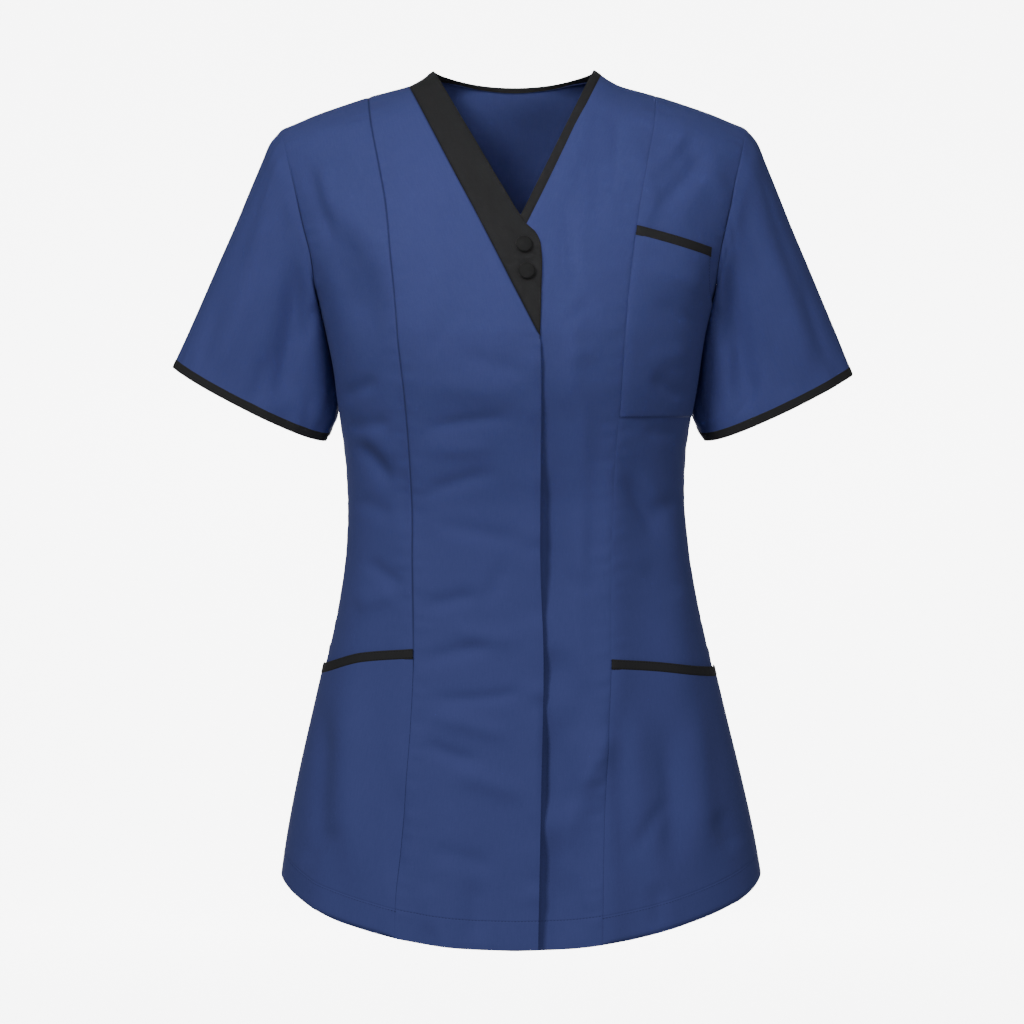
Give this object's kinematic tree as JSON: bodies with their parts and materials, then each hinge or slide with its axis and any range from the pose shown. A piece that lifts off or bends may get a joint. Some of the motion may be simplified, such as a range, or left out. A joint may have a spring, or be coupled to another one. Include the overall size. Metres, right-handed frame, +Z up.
{
  "type": "beautician tunic",
  "caption": "Short-sleeved women's beautician tunic with V neck, wide contrast neck band, lapped front, princess seams, chest pocket and hip pockets, filled out as worn.",
  "frame": {"origin": "midway between the two points where the neck meets the shoulder seams, on the neck line", "axes": "+Z up along the wearer, +X to the wearer's left, +Y to the wearer's back"},
  "size_m": [0.5795, 0.2676, 0.7292],
  "materials": {
    "cloth_blue": "matt polyester-cotton poplin, mid navy blue",
    "trim_black": "matt black polyester-cotton trim",
    "button_black": "black cloth-covered dome button"
  },
  "bodies": {
    "root": {"front_centre_right": "cloth_blue", "front_centre_left": "cloth_blue", "front_side_right": "cloth_blue", "front_side_left": "cloth_blue", "back": "cloth_blue", "sleeve_right": "cloth_blue", "sleeve_left": "cloth_blue", "neck_band": "trim_black", "neck_binding": "trim_black", "sleeve_binding_right": "trim_black", "sleeve_binding_left": "trim_black", "pocket_chest": "cloth_blue", "pocket_chest_binding": "trim_black", "pocket_hip_right": "cloth_blue", "pocket_hip_right_binding": "trim_black", "pocket_hip_left": "cloth_blue", "pocket_hip_left_binding": "trim_black", "button_upper": "button_black", "button_lower": "button_black"}
  },
  "joints": []
}
